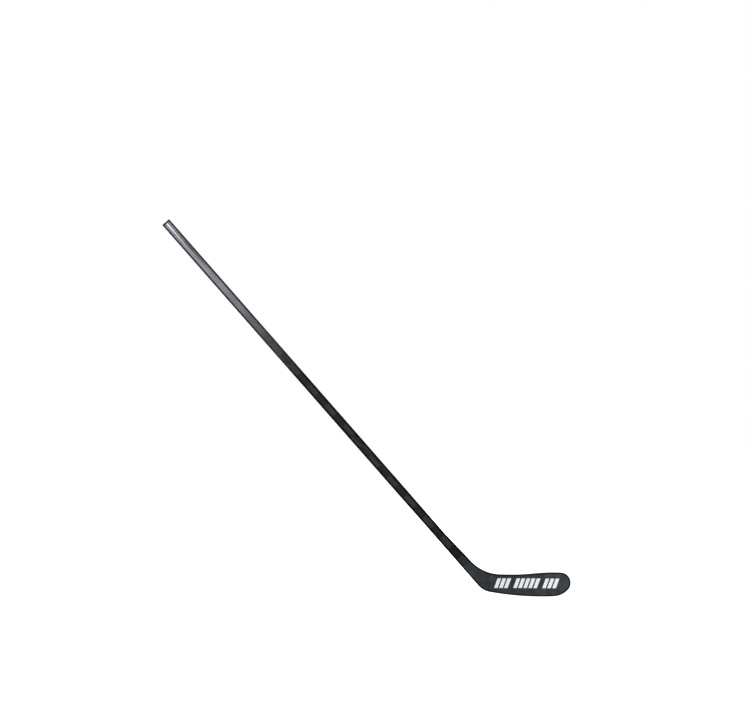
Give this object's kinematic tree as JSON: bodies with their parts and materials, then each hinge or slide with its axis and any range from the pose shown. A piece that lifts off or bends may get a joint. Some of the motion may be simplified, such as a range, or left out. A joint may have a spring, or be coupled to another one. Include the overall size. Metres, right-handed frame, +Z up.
{
  "type": "ice hockey stick",
  "caption": "Composite player's ice hockey stick: a straight hollow carbon shaft with an end plug, and a curved blade fused to it through a flared neck.",
  "frame": {"origin": "the heel point, where the line of the shaft's underside meets the ice plane under the blade", "axes": "+Z up from the ice; +X along the blade from heel to toe; the shaft rises towards -X; the blade curls towards -Y"},
  "size_m": [1.2589, 0.042, 1.1637],
  "materials": {
    "carbon_laminate": "satin",
    "shaft_carbon_weave": "gloss",
    "neck_carbon_weave": "gloss",
    "plug_plastic": "satin",
    "hot_melt_glue": "satin",
    "filled_epoxy": "matte",
    "epoxy_adhesive": "gloss",
    "core_foam": "matte",
    "blade_skin": "satin",
    "edge_band": "satin",
    "white_ink": "satin"
  },
  "bodies": {
    "stick": {"shaft_tube": "carbon_laminate", "shaft_weave_ply": "shaft_carbon_weave", "neck_weave_ply": "neck_carbon_weave", "neck_laminate": "carbon_laminate", "plug_glue_pads": "hot_melt_glue", "blade_tenon": "filled_epoxy", "heel_core": "filled_epoxy", "tenon_adhesive": "epoxy_adhesive", "blade_core_upper": "core_foam", "blade_core_lower": "core_foam", "blade_rib": "carbon_laminate", "blade_front_skin": "blade_skin", "blade_back_skin": "blade_skin", "blade_edge_band": "edge_band", "blade_graphic_front": "white_ink", "blade_graphic_back": "white_ink"},
    "plug": {"butt_plug": "plug_plastic"}
  },
  "joints": [
    {"name": "plug_pull", "type": "slide", "parent": "stick", "child": "plug", "axis": [-0.6593, 0, 0.7518], "range_m": [0, 0.054]}
  ]
}
